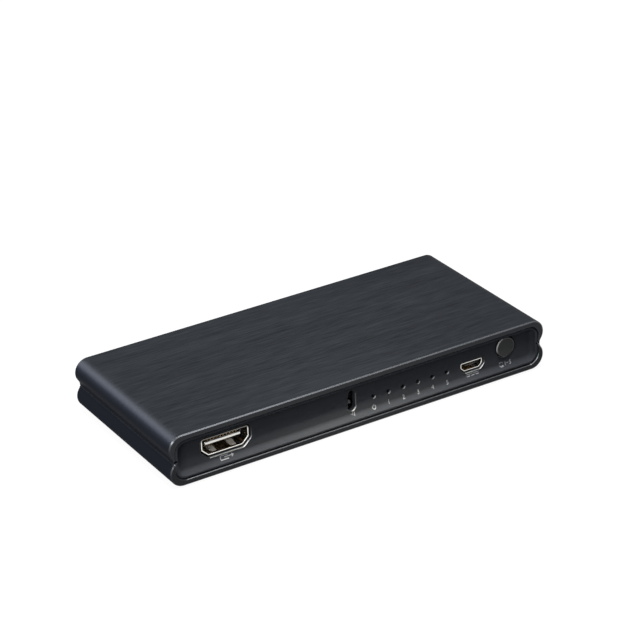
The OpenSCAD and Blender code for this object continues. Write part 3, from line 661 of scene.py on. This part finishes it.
def makeShell(name, node, up, dims):
    bm = bmesh.new()
    flat, inner, seam = ((dims["top"], dims["ceiling"], dims["upperSeam"]) if up > 0
                         else (dims["bottom"], dims["floor"], dims["lowerSeam"]))
    cornerX, cornerZ = dims["half"] - dims["cornerR"], flat - up * dims["cornerR"]
    bendX, bendZ = dims["cavityHalf"] - dims["innerR"], inner - up * dims["innerR"]
    lean = degrees(atan2(abs(dims["middle"] - cornerZ), dims["hollowX"] - cornerX))
    dip = degrees(asin((dims["middle"] - seam) / dims["hollowR"]))
    tip = bm.verts.new((0, -dims["rim"], flat))
    tip = lineTo(bm, tip, cornerX, flat)
    tip = arcAbout(bm, tip, cornerX, cornerZ, up * (90 + lean), dims["cornerSteps"])
    tip = arcAbout(bm, tip, dims["hollowX"], dims["middle"], -up * (lean + up * dip),
                   dims["hollowSteps"])
    seamX = tip.co.x
    tip = lineTo(bm, tip, dims["cavityHalf"], seam)
    tip = lineTo(bm, tip, dims["cavityHalf"], bendZ)
    tip = arcAbout(bm, tip, bendX, bendZ, -up * 90, dims["innerSteps"])
    lineTo(bm, tip, 0, inner)
    bmesh.ops.mirror(bm, geom=bm.verts[:] + bm.edges[:], axis="X", merge_dist=touch)
    bmesh.ops.contextual_create(bm, geom=bm.edges[:])
    drawn = bmesh.ops.extrude_face_region(bm, geom=bm.faces[:])["geom"]
    bmesh.ops.translate(bm, vec=(0, 2 * dims["rim"], 0), verts=vertsOf(drawn))
    bmesh.ops.recalc_face_normals(bm, faces=bm.faces)
    rims = [e for e in bm.edges if abs(abs(middleOf(e).y) - dims["rim"]) < touch
            and abs(e.verts[0].co.y - e.verts[1].co.y) < touch]
    if up > 0:  # the pockets cut the lid's seam edges, so these stay sharp
        rims = [e for e in rims if any(abs(v.co.z - seam) > touch for v in e.verts)]
    reachX = dims["cavityHalf"] + dims["slack"]
    reachZ = abs(dims["ceiling"] - dims["middle"]) + dims["slack"]
    outer = [e for e in rims if abs(middleOf(e).x) > reachX
             or abs(middleOf(e).z - dims["middle"]) > reachZ]
    inside = [e for e in rims if e not in outer]
    cut = bevelEdges(bm, outer, dims["rimEase"])
    innerCut = bevelEdges(bm, [e for e in inside if e.is_valid], dims["innerEase"])
    for finish, faces in ((1, cut), (2, innerCut)):
        for face in faces:
            if face.is_valid:
                face.material_index = finish
    lips = [e for e in bm.edges if e.calc_length() > dims["rim"]
            and hypot(abs(middleOf(e).x) - seamX, middleOf(e).z - seam) < 10 * touch]
    bevelEdges(bm, lips, dims["seamEase"], dims["seamSteps"])
    return finishPiece(name, bm, ["caseMetal", "cutEdge", "innerEdge"], node,
                       crease=dims["crease"])


cutPockets(makeShell("caseLid", "upper_shell", 1, caseDims), lidPockets, (-1, 1))
cutScrewHoles(makeShell("caseBase", "lower_shell", -1, caseDims), screwDims)
print("case shells made")

# Sockets: folded sheet shells with slanted lower corners
socketForm = {"mouth": -25.1, "leastR": 0.12, "foldSteps": 3}
videoDims = {
    "width": 15.0, "low": 5.55, "high": 11.05, "slantWidth": 2.1, "slantHeight": 2.0,
    "cornerR": 0.75, "length": 11.6, "sheet": 0.4, "lip": 0.15, "cutOutset": 0.45,
    "tongueHalf": 5.7, "tongueLow": 8.1, "tongueHigh": 9.2, "tongueBack": 1.3, "tongueTip": 0.24,
    "blockBack": 7.4, "fit": 0.05, "plated": True}
powerDims = {
    "width": 7.5, "low": 5.4, "high": 8.15, "slantWidth": 1.15, "slantHeight": 1.15, "cornerR": 0.5,
    "length": 5.4, "sheet": 0.3, "lip": 0.12, "cutOutset": 0.35, "tongueHalf": 1.85,
    "tongueLow": 6.55, "tongueHigh": 7.15, "tongueBack": 0.7, "tongueTip": 0.18, "blockBack": 3.2,
    "fit": 0.05, "plated": False}


# Slanted outline about x, pulled in by inset (negative pushes it out)
def slantBox(spec, x, inset):
    half, low, high = spec["width"] / 2 - inset, spec["low"] + inset, spec["high"] - inset
    wide, tall = spec["slantWidth"], spec["slantHeight"]
    slope = hypot(wide, tall)
    kneeX = spec["width"] / 2 - wide - inset * (slope - wide) / tall
    kneeZ = spec["low"] + tall + inset * (slope - tall) / wide
    r = max(spec["cornerR"] - inset, socketForm["leastR"])
    return [(x - kneeX, low, r), (x + kneeX, low, r), (x + half, kneeZ, r),
            (x + half, high, r), (x - half, high, r), (x - half, kneeZ, r)]


# End caps: a raised lip round a set-back face with the openings
capDims = {
    "half": 60.18, "low": 2.42, "high": 14.38, "cornerR": 3.28, "lipFront": 27.65, "lip": 0.85,
    "face": 25.6, "back": 24.0, "outerEase": 0.42, "sideEase": 0.1, "lipEase": 0.12, "cove": 1.2,
    "topCove": 0.3, "runOut": 1.0, "cornerSteps": 8, "profileSteps": 6}
capFinishes = ["panelPlastic", "panelEdge", "holeEdge", "socketEdge"]
capNotches = {
    "inner": 59.5, "outer": 60.4, "z": 8.36, "tall": 0.42, "corner": 0.2, "face": 27.65,
    "deep": 0.9, "proud": 0.5, "steps": 4}
frontHoles = {
    "lampX": [4.6, 9.6, 14.6, 19.6, 24.6, 29.6], "lampZ": 7.4, "lampHalf": 0.6, "lampTall": 0.6,
    "lampEase": 0.17, "lampSteps": 6, "eyeX": -2.65, "eyeZ": 8.2, "eyeHalf": 1.225, "eyeTall": 3.15,
    "eyeEase": 0.24, "eyeSteps": 10, "buttonX": 49.8, "buttonZ": 9.6, "buttonHalf": 3.35,
    "buttonTall": 3.35, "buttonEase": 0.16, "buttonSteps": 16, "outX": -43.25, "powerX": 38.45,
    "socketEase": 0.2, "socketSteps": 5}
inputX = [-44.0, -22.0, 0.0, 22.0, 44.0]


# The face curves forward into the lip, gently below and at the ends, tightly at the top
def makeCap(name, node, holes, dims, rear):
    bm = bmesh.new()
    face, back, lip, lipFront = dims["face"], dims["back"], dims["lip"], dims["lipFront"]

    def cornersAt(inset):
        beyond = max(inset - lip, 0)
        top = inset - beyond + beyond * dims["topCove"] / dims["cove"]
        eased = min(inset, dims["outerEase"])
        flat = (min(inset, lip) - eased) / (lip - dims["outerEase"])
        ease = eased * dims["sideEase"] / dims["outerEase"]
        side = ease + flat * (lip - dims["sideEase"]) + beyond
        low, high = dims["low"] + inset, dims["high"] - top
        return roundBox(0, (low + high) / 2, dims["half"] - side, (high - low) / 2,
                        dims["cornerR"] - inset)

    profile = easeProfile([(0, -back, 0), (0, -lipFront, dims["outerEase"]),
                           (lip, -lipFront, dims["lipEase"]), (lip, -face, dims["cove"]),
                           (lip + dims["cove"] + dims["runOut"], -face, 0)],
                          dims["profileSteps"])[:-1]
    rings = loft(bm, cornersAt, profile, dims["cornerSteps"])
    fronts, backs = [rings[-1]], [rings[0]]
    for holeAt, steps, ease, finish in holes:  # each with one flat slope at its edge
        holeProfile = easeProfile([(ease * 2, -face, 0), (0, -face, ease), (0, -back, 0)], 1)[1:]
        walls = loft(bm, holeAt, holeProfile, steps)
        fronts.append(walls[0])
        backs.append(walls[-1])
        for slope in {slope for edge in walls[0] for slope in edge.link_faces}:
            slope.material_index = capFinishes.index(finish)
    fillBetween(bm, fronts, (0, -1, 0))
    fillBetween(bm, backs, (0, 1, 0))
    turnToRear(bm, rear)
    return finishPiece(name, bm, capFinishes, node)


# Openings: corners for an outset, steps for each corner, ease and finish of the edge
def roundHole(kind, x, finish):
    z, half, tall, steps, ease = (frontHoles[kind + fact] for fact in (
        "Z", "Half", "Tall", "Steps", "Ease"))
    return (lambda outset: roundBox(x, z, half + outset, tall + outset, half + outset),
            steps, ease, finish)


def socketHole(spec, x):
    return (lambda outset: slantBox(spec, x, -spec["cutOutset"] - outset),
            frontHoles["socketSteps"], frontHoles["socketEase"], "socketEdge")


openings = [roundHole("lamp", x, "holeEdge") for x in frontHoles["lampX"]]
openings += [roundHole("eye", frontHoles["eyeX"], "holeEdge"),
             roundHole("button", frontHoles["buttonX"], "panelEdge"),
             socketHole(videoDims, frontHoles["outX"]), socketHole(powerDims, frontHoles["powerX"])]
cutPockets(makeCap("frontPanel", "front_panel", openings, capDims, False), capNotches, (-1,))
rearOpenings = [socketHole(videoDims, x) for x in inputX]
cutPockets(makeCap("rearPanel", "rear_panel", rearOpenings, capDims, True), capNotches, (1,))
print("end caps made")

# A leaf spring: a bent strip along a path of (depth, rise) that leaves the wall and comes back
springDims = {
    "width": 1.5, "thick": 0.16, "start": 1.0,
    "path": [(0.0, 0.02), (0.55, 0.12), (2.0, 0.4), (2.6, 0.5), (3.2, 0.4), (5.2, 0.02)],
    "places": [(-3.1, 1), (3.1, 1), (-3.1, -1), (3.1, -1)]}


def addSpring(bm, x, z, mouth, toward, spec):
    way = [(x - spec["width"] / 2, mouth + spec["start"] + depth, z + toward * rise)
           for depth, rise in spec["path"]]
    chain = [bm.verts.new(way[0])]
    for at in way[1:]:
        chain.append(stepTo(bm, chain[-1], at))
    wires = [e for e in bm.edges if e.verts[0] in chain and e.verts[1] in chain]
    sheet = bmesh.ops.extrude_edge_only(bm, edges=wires)["geom"]
    bmesh.ops.translate(bm, vec=(spec["width"], 0, 0), verts=vertsOf(sheet))
    faces = [f for f in sheet if isinstance(f, bmesh.types.BMFace)]
    bmesh.ops.recalc_face_normals(bm, faces=faces)
    bmesh.ops.solidify(bm, geom=faces, thickness=spec["thick"])


def makeSocketShell(name, node, spec, x, mouth, rear, springs):
    bm = bmesh.new()
    lip, sheet, back = spec["lip"], spec["sheet"], mouth + spec["length"]
    profile = easeProfile([(0, back, 0), (0, mouth, lip), (sheet, mouth, lip), (sheet, back, 0)],
                          socketForm["foldSteps"])
    loft(bm, lambda inset: slantBox(spec, x, inset), profile, frontHoles["socketSteps"], True)
    walls = set(bm.faces)
    for offset, toward in springs:
        z = spec["low"] + sheet if toward > 0 else spec["high"] - sheet
        addSpring(bm, x + offset, z, mouth, toward, springDims)
    for face in bm.faces:
        face.material_index = 0 if face in walls else 1
    turnToRear(bm, rear)
    return finishPiece(name, bm, ["nickelPlate", "springPlate"], node)


# Insulator: the block at the back of the socket and the tongue that carries the contacts
insulatorDims = {
    "tongueR": 0.1, "tongueSteps": 2, "shoulder": 0.06, "shoulderRun": 0.08, "overlap": 0.6,
    "blockEase": 0.15, "blockSteps": 3, "noseFacing": -0.4}


def makeInsulator(name, node, spec, x, mouth, rear):
    bm = bmesh.new()
    dims = insulatorDims
    midZ = (spec["tongueLow"] + spec["tongueHigh"]) / 2
    halfZ = (spec["tongueHigh"] - spec["tongueLow"]) / 2
    tip, block, ease = mouth + spec["tongueBack"], mouth + spec["blockBack"], dims["blockEase"]
    nose = tip + spec["tongueTip"]
    tongue = [(spec["tongueTip"], tip), (dims["shoulder"], nose), (0, nose + dims["shoulderRun"]),
              (0, block + dims["overlap"])]
    capEnds(bm, loft(bm, lambda inset: roundBox(x, midZ, spec["tongueHalf"] - inset, halfZ - inset,
                                                dims["tongueR"]), tongue, dims["tongueSteps"]))
    bmesh.ops.recalc_face_normals(bm, faces=bm.faces)
    for face in bm.faces:
        front = face.normal.z > dims["noseFacing"] and face.calc_center_median().y < nose
        face.material_index = 1 if front and spec["plated"] else 0
    gap = spec["sheet"] + spec["fit"]
    rest = [(ease, block), (0, block + ease), (0, mouth + spec["length"])]
    capEnds(bm, loft(bm, lambda inset: slantBox(spec, x, gap + inset), rest, dims["blockSteps"]))
    turnToRear(bm, rear)
    return finishPiece(name, bm, ["socketPlastic", "tonguePlate"], node)


# Both pieces of a socket; rear ones are drawn at the front and turned
def makeSocket(name, node, spec, x, springs, number=""):
    mouth, tail, rear = socketForm["mouth"], "_" + number if number else "", number != ""
    makeSocketShell(name + "Shell" + number, node + "_shell" + tail, spec, x, mouth, rear, springs)
    makeInsulator(name + "Insulator" + number, node + "_insulator" + tail, spec, x, mouth, rear)


makeSocket("videoOut", "video_out", videoDims, frontHoles["outX"], springDims["places"])
for k, x in enumerate(inputX):
    makeSocket("videoIn", "video_in", videoDims, -x, springDims["places"], str(k + 1))
makeSocket("powerSocket", "power_socket", powerDims, frontHoles["powerX"], [])
print("sockets made")

# Select button: turned cap with a dished face, a collar behind the panel and a stem to the switch
buttonDims = {
    "x": 49.8, "z": 9.6, "front": -26.3, "capR": 3.1, "edgeR": 0.38, "collarFront": -23.92,
    "collarBack": -23.22, "collarR": 3.8, "stemR": 1.5, "stemBack": -21.5, "stemEase": 0.2,
    "edgeSteps": 5, "steps": 72, "face": [(0.0, 0.12), (1.705, 0.036), (2.48, 0.0)]}


def makeButton(spec):
    bm = bmesh.new()
    front, capR, edgeR = spec["front"], spec["capR"], spec["edgeR"]
    profile = easeProfile([(r, front + dish, 0) for r, dish in spec["face"]] + [
        (capR, front, edgeR), (capR, spec["collarFront"], 0),
        (spec["collarR"], spec["collarFront"], 0), (spec["collarR"], spec["collarBack"], 0),
        (spec["stemR"], spec["collarBack"], 0), (spec["stemR"], spec["stemBack"], spec["stemEase"]),
        (0.0, spec["stemBack"], 0)], spec["edgeSteps"])
    tip = bm.verts.new((spec["x"], profile[0][1], spec["z"]))
    for r, depth in profile[1:]:
        tip = stepTo(bm, tip, (spec["x"] + r, depth, spec["z"]))
    spinRound(bm, spec["x"], spec["z"], spec["steps"])
    for face in bm.faces:
        at = face.calc_center_median()
        reach = hypot(at.x - spec["x"], at.z - spec["z"])
        face.material_index = 1 if reach > capR - edgeR and at.y < front + edgeR else 0
    return finishPiece("selectButton", bm, ["buttonPlastic", "buttonEdge"], "select_button",
                       body="button")


makeButton(buttonDims)

# Spring dome of the switch, drawn raised as at rest; the real one flattens when the button is
# pressed
domeDims = {
    "x": 49.8, "z": 9.6, "base": -18.75, "rise": 0.75, "r": 2.4, "thick": 0.1, "keep": 0.62,
    "curveSteps": 8, "steps": 48}


def makeDome(spec):
    bm = bmesh.new()
    curve = (spec["r"] ** 2 + spec["rise"] ** 2) / (2 * spec["rise"])
    low = spec["base"] - spec["rise"] + curve
    rims = []
    for r in (curve, curve - spec["thick"]):
        top = bm.verts.new((spec["x"], low - r, spec["z"]))
        made = bmesh.ops.spin(bm, geom=[top], cent=(spec["x"], low, spec["z"]), axis=(0, 0, 1),
                              angle=acos((curve - spec["rise"]) / r), steps=spec["curveSteps"],
                              use_duplicate=False)
        rims += vertsOf(made["geom_last"])
    bm.edges.new(rims)
    spinRound(bm, spec["x"], spec["z"], spec["steps"])
    dome = finishPiece("switchDome", bm, ["switchSteel"], "switch_dome")
    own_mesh(dome)
    return dome


makeDome(domeDims)
print("button and switch dome made")

# Printed marks: plain signs and numbers under the openings, a thin raised ink. Strokes run from
# (x, z) to (x, z), arcs are (x, z, radius, start, turn, steps), all from the middle of the sign
markDims = {
    "z": 4.12, "height": 1.3, "line": 0.2, "lift": 0.014, "sunk": 0.03, "bends": 7,
    "digitShare": 0.72, "digitSteps": 3, "arrow": 0.42, "arrowTilt": 35}
screenSign = [(-2.1, 0.39, 0.3, 0.39), (-2.1, -0.65, 0.3, -0.65), (-2.1, -0.75, -2.1, 0.49),
              (-0.9, -0.13, 1.9, -0.13), (1.35, 0.27, 2.0, -0.15), (1.35, -0.53, 2.0, -0.11)]
wavesSign = [(-0.55, 0, r, -30, 60, 14) for r in (0.15, 0.7, 1.25)]
powerSign = {"ring": (0, -0.06, 0.55, 125, 290, 24), "bar": (0, 0, 0, 0.71)}
supplySign = [(-2.1, 0.28, 2.1, 0.28), (-2.1, -0.28, -1.0, -0.28), (-0.55, -0.28, 0.55, -0.28),
              (1.0, -0.28, 2.1, -0.28)]
selectSign = {
    "x": -1.3, "from": 1.45, "dash": (1.95, 0, 2.55, 0), "to": 3.15,
    "rings": [(0, 0, 0.62, start, 130, 12) for start in (20, 200)]}


# Where the panel's face lies at a height, along its scoop toward the lip
def faceDepth(z):
    cove = capDims["cove"]
    drop = max(capDims["low"] + capDims["lip"] + cove - z, 0)
    return -capDims["face"] - cove + sqrt(cove ** 2 - drop ** 2)


def strokeLine(bm, x, z, line):
    x0, z0, x1, z1 = x + line[0], z + line[1], x + line[2], z + line[3]
    way = Vector((x1 - x0, z1 - z0)).normalized()
    side = Vector((-way.y, way.x)) * markDims["line"] / 2
    a = bm.verts.new((x0 + side.x, 0, z0 + side.y))
    b = bm.verts.new((x0 - side.x, 0, z0 - side.y))
    drawn = bmesh.ops.extrude_edge_only(bm, edges=[bm.edges.new((a, b))])["geom"]
    bmesh.ops.translate(bm, vec=(x1 - x0, 0, z1 - z0), verts=vertsOf(drawn))


def strokeArc(bm, x, z, arc):
    offX, offZ, r, start, turn, steps = arc
    middle = Vector((x + offX, 0, z + offZ))
    way = Vector((cos(radians(start)), 0, sin(radians(start))))
    a = bm.verts.new(middle + way * (r - markDims["line"] / 2))
    b = bm.verts.new(middle + way * (r + markDims["line"] / 2))
    bmesh.ops.spin(bm, geom=[a, b, bm.edges.new((a, b))], cent=middle, axis=(0, 1, 0),
                   angle=radians(-turn), steps=steps, use_duplicate=False)


def addNumber(bm, number, x, spec):
    text = bpy.data.curves.new("numberMark", "FONT")
    text.body, text.align_x, text.align_y = str(number), "CENTER", "CENTER"
    text.size = spec["height"] / spec["digitShare"]
    text.resolution_u = spec["digitSteps"]
    carrier = addObject("numberMark", text)
    graph = bpy.context.evaluated_depsgraph_get()
    mesh = bpy.data.meshes.new_from_object(carrier.evaluated_get(graph))
    mesh.transform(Matrix.Translation((x, 0, spec["z"])) @ Matrix.Rotation(pi / 2, 4, "X"))
    bm.from_mesh(mesh)
    bpy.data.objects.remove(carrier)
    bpy.data.meshes.remove(mesh)


# Bends the flat ink to the panel's face and gives it its thickness
def finishMarks(name, bm, spec, rear):
    bmesh.ops.remove_doubles(bm, verts=bm.verts, dist=touch)
    low, rise = spec["z"] - spec["height"] / 2, spec["height"] / spec["bends"]
    for k in range(1, spec["bends"]):
        bmesh.ops.bisect_plane(bm, geom=bm.verts[:] + bm.edges[:] + bm.faces[:], dist=touch / 10,
                               plane_co=(0, 0, low + rise * k), plane_no=(0, 0, 1))
    for vert in bm.verts:
        vert.co.y = faceDepth(vert.co.z) - spec["lift"]
    drawn = bmesh.ops.extrude_face_region(bm, geom=bm.faces[:])["geom"]
    bmesh.ops.translate(bm, vec=(0, spec["lift"] + spec["sunk"], 0), verts=vertsOf(drawn))
    turnToRear(bm, rear)
    return finishPiece(name, bm, ["printInk"], slot="panel_plastic")


def makeFrontMarks(spec):
    bm = bmesh.new()
    z = spec["z"]
    for line in screenSign:  # screen with an arrow out of it, under the output
        strokeLine(bm, frontHoles["outX"], z, line)
    for arc in wavesSign:  # waves toward the infrared slot
        strokeArc(bm, frontHoles["eyeX"], z, arc)
    strokeArc(bm, frontHoles["lampX"][0], z, powerSign["ring"])
    strokeLine(bm, frontHoles["lampX"][0], z, powerSign["bar"])
    for k, lampX in enumerate(frontHoles["lampX"][1:]):
        addNumber(bm, k + 1, lampX, spec)
    for line in supplySign:  # direct current, under the power socket
        strokeLine(bm, frontHoles["powerX"], z, line)
    # first to last input beside two arrows in a ring, under the button
    x = frontHoles["buttonX"] + selectSign["x"]
    addNumber(bm, 1, x + selectSign["from"], spec)
    strokeLine(bm, x, z, selectSign["dash"])
    addNumber(bm, len(inputX), x + selectSign["to"], spec)
    for ring in selectSign["rings"]:
        strokeArc(bm, x, z, ring)
        r, end = ring[2], radians(ring[3] + ring[4])
        tipX, tipZ = cos(end) * r, sin(end) * r
        for tilt in (spec["arrowTilt"], -spec["arrowTilt"]):
            way = end - pi / 2 + radians(tilt)
            strokeLine(bm, x, z, (tipX, tipZ, tipX + cos(way) * spec["arrow"],
                                  tipZ + sin(way) * spec["arrow"]))
    return finishMarks("frontMarks", bm, spec, False)


def makeRearMarks(spec):
    bm = bmesh.new()
    for k, x in enumerate(inputX):
        addNumber(bm, k + 1, -x, spec)
    return finishMarks("rearMarks", bm, spec, True)


makeFrontMarks(markDims)
makeRearMarks(markDims)
print("marks made")

# Rubber feet: low pads with an eased lower edge
footDims = {
    "places": [(-48.0, -19.0), (48.0, -19.0), (-48.0, 19.0), (48.0, 19.0)], "r": 4.0, "tall": 0.6,
    "ease": 0.22, "flatInset": 2.4, "steps": 12}


def makeFeet(spec):
    bm = bmesh.new()
    profile = easeProfile([(spec["flatInset"], 0.0, 0), (0, 0.0, spec["ease"]),
                           (0, spec["tall"], 0)])
    addRounds(bm, spec["places"], [(spec["r"] - inset, z) for inset, z in profile], spec["steps"])
    return finishPiece("rubberFeet", bm, ["footRubber"], "rubber_feet")


makeFeet(footDims)
print("feet made")


# Finishes for the CAD nodes that stay, named after their slots but for the sockets
def finishFor(slot):
    first, *rest = slot.split("_")
    return "nickelPlate" if slot == "socket_steel" else first + "".join(w.title() for w in rest)


for node, solid in frame["nodes"].items():
    solid.data.materials.clear()
    solid.data.materials.append(finishes[finishFor(slotOf[node])])
print("solids finished")

# Studio, in metres: a pale floor that brightens outward, a soft box overhead, a strip behind, two
# cards, a soft warm spot on the front, and a white surround that shows directly or in reflections
studio = {
    "floorSize": 6.0, "floorColor": even(0.11), "floorGlow": 0.92, "glowFrom": (0.15, 0.6),
    "ambient": 0.03, "surround": 1.0, "floorCells": 4, "middle": (0.0, 0.0, 0.01)}
lamps = {
    "overhead": {"at": (-0.05, -0.25, 0.93), "aim": (0, 0, 0), "size": (0.5, 0.36), "power": 7.4},
    "rearStrip": {"at": (-0.50, 0.84, 0.48), "size": (0.6, 0.6), "power": 11.0},
    "leftCard": {"at": (-0.72, -0.56, 0.46), "size": (0.36, 0.18), "power": 2.2},
    "topCard": {"at": (0.36, -0.60, 0.93), "size": (0.2, 0.2), "power": 0.62},
    "softSpot": {"at": (-0.03, -0.29, 0.9), "aim": (-0.007, -0.026, 0.004), "cone": 5.6,
                 "soft": 0.04, "power": 82.0, "color": (1.0, 0.94, 0.74)}}


def addLamp(name, spec):
    data = bpy.data.lights.new(name, "SPOT" if "cone" in spec else "AREA")
    if "cone" in spec:
        data.spot_size, data.spot_blend = radians(spec["cone"]), 1.0
        data.shadow_soft_size = spec["soft"]
    else:
        data.shape, data.size, data.size_y = "RECTANGLE", *spec["size"]
    data.energy = spec["power"]
    data.color = spec.get("color", even(1.0))
    lamp = addObject(name, data)
    lamp.location = spec["at"]
    lamp.rotation_mode = "QUATERNION"
    way = Vector(spec.get("aim", studio["middle"])) - Vector(spec["at"])
    lamp.rotation_quaternion = way.to_track_quat("-Z", "Y")


def seenDirectly(tree):
    path = addNode(tree, "LightPath").outputs
    return addMath(tree, "MAXIMUM", path["Is Camera Ray"],
                   addMath(tree, "MAXIMUM", path["Is Glossy Ray"], path["Is Transmission Ray"]))


def makeSurround(spec):
    scene.world = bpy.data.worlds.new("studioSurround")
    tree = emptyTree(scene.world)
    strength = spread(tree, seenDirectly(tree), spec["ambient"], spec["surround"], 0.0, 1.0)
    glow = addNode(tree, "Background", {"Color": opaque(even(1.0)), "Strength": strength})
    addNode(tree, "OutputWorld", {"Surface": glow.outputs[0]})


# The floor is clear from below
def makeFloor(spec):
    bm = bmesh.new()
    cells = spec["floorCells"]
    bmesh.ops.create_grid(bm, x_segments=cells, y_segments=cells, size=spec["floorSize"] / 2)
    mesh = toMesh("studioFloor", bm)
    material = bpy.data.materials.new("paleFloor")
    tree = emptyTree(material)
    matt = addNode(tree, "BsdfDiffuse", {"Color": opaque(spec["floorColor"])})
    reach = addNode(tree, "VectorMath", {0: placeOf(tree)}, operation="LENGTH").outputs["Value"]
    level = spread(tree, reach, spec["floorGlow"], 1.0, *spec["glowFrom"])
    strength = addMath(tree, "MULTIPLY", seenDirectly(tree), level)
    glow = addNode(tree, "Emission", {"Color": opaque(even(1.0)), "Strength": strength})
    both = addNode(tree, "AddShader", {0: matt.outputs[0], 1: glow.outputs[0]})
    clear = addNode(tree, "BsdfTransparent")
    below = addNode(tree, "NewGeometry").outputs["Backfacing"]
    shown = addNode(tree, "MixShader", {0: below, 1: both.outputs[0], 2: clear.outputs[0]})
    addNode(tree, "OutputMaterial", {"Surface": shown.outputs[0]})
    mesh.materials.append(material)
    floor = addObject("studioFloor", mesh)


makeSurround(studio)
makeFloor(studio)
for name, lamp in lamps.items():
    addLamp(name, lamp)
print("studio lit")
